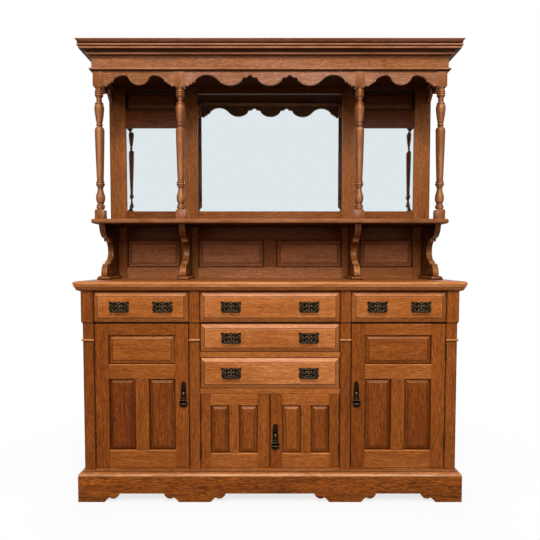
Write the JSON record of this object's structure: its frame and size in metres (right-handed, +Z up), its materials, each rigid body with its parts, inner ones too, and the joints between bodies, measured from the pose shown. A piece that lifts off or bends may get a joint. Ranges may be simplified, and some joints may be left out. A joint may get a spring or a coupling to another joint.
{
  "type": "mirror-back sideboard",
  "caption": "Traditional oak sideboard with drawers and panelled cupboards below a counter, and a mirrored hutch with a shelf, turned posts and a cornice above.",
  "frame": {"origin": "on the floor under the middle of the piece's overall box", "axes": "+Z up, front faces -Y, +X to the viewer's right when facing the front"},
  "size_m": [1.87, 0.56, 2.206],
  "materials": {
    "oak": "waxed golden brown",
    "inside_wood": "unpolished",
    "bronze": "aged dark bronze",
    "hinge_brass": "dull",
    "mirror_glass": "silvered, bevelled"
  },
  "bodies": {
    "case": {"plinth": "oak", "plinth_moulding": "oak", "pilasters": "oak", "case_ends": "oak", "inner_case": "inside_wood", "front_rails": "oak", "drawer_runners": "inside_wood", "back_boards": "inside_wood", "counter": "oak", "counter_moulding": "oak", "hinge_case_leaves": "hinge_brass", "back_frame": "oak", "back_panels": "oak", "mirrors": "mirror_glass", "brackets": "oak", "shelf": "oak", "posts": "oak", "valances": "oak", "frieze": "oak", "cornice": "oak", "canopy_boards": "oak"},
    "left_drawer": {"left_drawer_front": "oak", "left_drawer_box": "inside_wood", "left_drawer_plates": "bronze"},
    "left_drawer_left_bail": {"left_drawer_left_bail": "bronze"},
    "left_drawer_right_bail": {"left_drawer_right_bail": "bronze"},
    "centre_drawer": {"centre_drawer_front": "oak", "centre_drawer_box": "inside_wood", "centre_drawer_plates": "bronze"},
    "centre_drawer_left_bail": {"centre_drawer_left_bail": "bronze"},
    "centre_drawer_right_bail": {"centre_drawer_right_bail": "bronze"},
    "right_drawer": {"right_drawer_front": "oak", "right_drawer_box": "inside_wood", "right_drawer_plates": "bronze"},
    "right_drawer_left_bail": {"right_drawer_left_bail": "bronze"},
    "right_drawer_right_bail": {"right_drawer_right_bail": "bronze"},
    "middle_drawer": {"middle_drawer_front": "oak", "middle_drawer_box": "inside_wood", "middle_drawer_plates": "bronze"},
    "middle_drawer_left_bail": {"middle_drawer_left_bail": "bronze"},
    "middle_drawer_right_bail": {"middle_drawer_right_bail": "bronze"},
    "lower_drawer": {"lower_drawer_front": "oak", "lower_drawer_box": "inside_wood", "lower_drawer_plates": "bronze"},
    "lower_drawer_left_bail": {"lower_drawer_left_bail": "bronze"},
    "lower_drawer_right_bail": {"lower_drawer_right_bail": "bronze"},
    "left_door": {"left_door": "oak", "left_door_hinge_leaves": "hinge_brass", "left_door_handle_plate": "bronze"},
    "left_door_drop": {"left_door_drop": "bronze"},
    "right_door": {"right_door": "oak", "right_door_hinge_leaves": "hinge_brass", "right_door_handle_plate": "bronze"},
    "right_door_drop": {"right_door_drop": "bronze"},
    "centre_left_door": {"centre_left_door": "oak", "centre_left_door_hinge_leaves": "hinge_brass"},
    "centre_right_door": {"centre_right_door": "oak", "centre_right_door_hinge_leaves": "hinge_brass", "centre_right_door_handle_plate": "bronze"},
    "centre_right_door_drop": {"centre_right_door_drop": "bronze"}
  },
  "joints": [
    {"name": "left_drawer_slide", "type": "slide", "parent": "case", "child": "left_drawer", "axis": [0, -1, 0], "range_m": [0, 0.3]},
    {"name": "centre_drawer_slide", "type": "slide", "parent": "case", "child": "centre_drawer", "axis": [0, -1, 0], "range_m": [0, 0.3]},
    {"name": "right_drawer_slide", "type": "slide", "parent": "case", "child": "right_drawer", "axis": [0, -1, 0], "range_m": [0, 0.3]},
    {"name": "middle_drawer_slide", "type": "slide", "parent": "case", "child": "middle_drawer", "axis": [0, -1, 0], "range_m": [0, 0.3]},
    {"name": "lower_drawer_slide", "type": "slide", "parent": "case", "child": "lower_drawer", "axis": [0, -1, 0], "range_m": [0, 0.3]},
    {"name": "left_drawer_left_bail_pivot", "type": "hinge", "parent": "left_drawer", "child": "left_drawer_left_bail", "pos_m": [-0.7075, -0.2643, 0.923], "axis": [-1, 0, 0], "range_deg": [-14, 85]},
    {"name": "left_drawer_right_bail_pivot", "type": "hinge", "parent": "left_drawer", "child": "left_drawer_right_bail", "pos_m": [-0.5035, -0.2643, 0.923], "axis": [-1, 0, 0], "range_deg": [-14, 85]},
    {"name": "centre_drawer_left_bail_pivot", "type": "hinge", "parent": "centre_drawer", "child": "centre_drawer_left_bail", "pos_m": [-0.183, -0.2643, 0.923], "axis": [-1, 0, 0], "range_deg": [-14, 85]},
    {"name": "centre_drawer_right_bail_pivot", "type": "hinge", "parent": "centre_drawer", "child": "centre_drawer_right_bail", "pos_m": [0.183, -0.2643, 0.923], "axis": [-1, 0, 0], "range_deg": [-14, 85]},
    {"name": "right_drawer_left_bail_pivot", "type": "hinge", "parent": "right_drawer", "child": "right_drawer_left_bail", "pos_m": [0.5035, -0.2643, 0.923], "axis": [-1, 0, 0], "range_deg": [-14, 85]},
    {"name": "right_drawer_right_bail_pivot", "type": "hinge", "parent": "right_drawer", "child": "right_drawer_right_bail", "pos_m": [0.7075, -0.2643, 0.923], "axis": [-1, 0, 0], "range_deg": [-14, 85]},
    {"name": "middle_drawer_left_bail_pivot", "type": "hinge", "parent": "middle_drawer", "child": "middle_drawer_left_bail", "pos_m": [-0.183, -0.257, 0.776], "axis": [-1, 0, 0], "range_deg": [-14, 85]},
    {"name": "middle_drawer_right_bail_pivot", "type": "hinge", "parent": "middle_drawer", "child": "middle_drawer_right_bail", "pos_m": [0.183, -0.257, 0.776], "axis": [-1, 0, 0], "range_deg": [-14, 85]},
    {"name": "lower_drawer_left_bail_pivot", "type": "hinge", "parent": "lower_drawer", "child": "lower_drawer_left_bail", "pos_m": [-0.183, -0.257, 0.609], "axis": [-1, 0, 0], "range_deg": [-14, 85]},
    {"name": "lower_drawer_right_bail_pivot", "type": "hinge", "parent": "lower_drawer", "child": "lower_drawer_right_bail", "pos_m": [0.183, -0.257, 0.609], "axis": [-1, 0, 0], "range_deg": [-14, 85]},
    {"name": "left_door_hinge", "type": "hinge", "parent": "case", "child": "left_door", "pos_m": [-0.8275, -0.2488, 0.5], "axis": [0, 0, -1], "range_deg": [0, 105]},
    {"name": "right_door_hinge", "type": "hinge", "parent": "case", "child": "right_door", "pos_m": [0.8275, -0.2488, 0.5], "axis": [0, 0, 1], "range_deg": [0, 105]},
    {"name": "centre_left_door_hinge", "type": "hinge", "parent": "case", "child": "centre_left_door", "pos_m": [-0.3285, -0.2488, 0.33], "axis": [0, 0, -1], "range_deg": [0, 105]},
    {"name": "centre_right_door_hinge", "type": "hinge", "parent": "case", "child": "centre_right_door", "pos_m": [0.3285, -0.2488, 0.33], "axis": [0, 0, 1], "range_deg": [0, 105]},
    {"name": "left_door_drop_pivot", "type": "hinge", "parent": "left_door", "child": "left_door_drop", "pos_m": [-0.4085, -0.256, 0.494], "axis": [-1, 0, 0], "range_deg": [-10, 75]},
    {"name": "right_door_drop_pivot", "type": "hinge", "parent": "right_door", "child": "right_door_drop", "pos_m": [0.4085, -0.256, 0.494], "axis": [-1, 0, 0], "range_deg": [-10, 75]},
    {"name": "centre_right_door_drop_pivot", "type": "hinge", "parent": "centre_right_door", "child": "centre_right_door_drop", "pos_m": [0.02575, -0.256, 0.291], "axis": [-1, 0, 0], "range_deg": [-10, 75]}
  ]
}
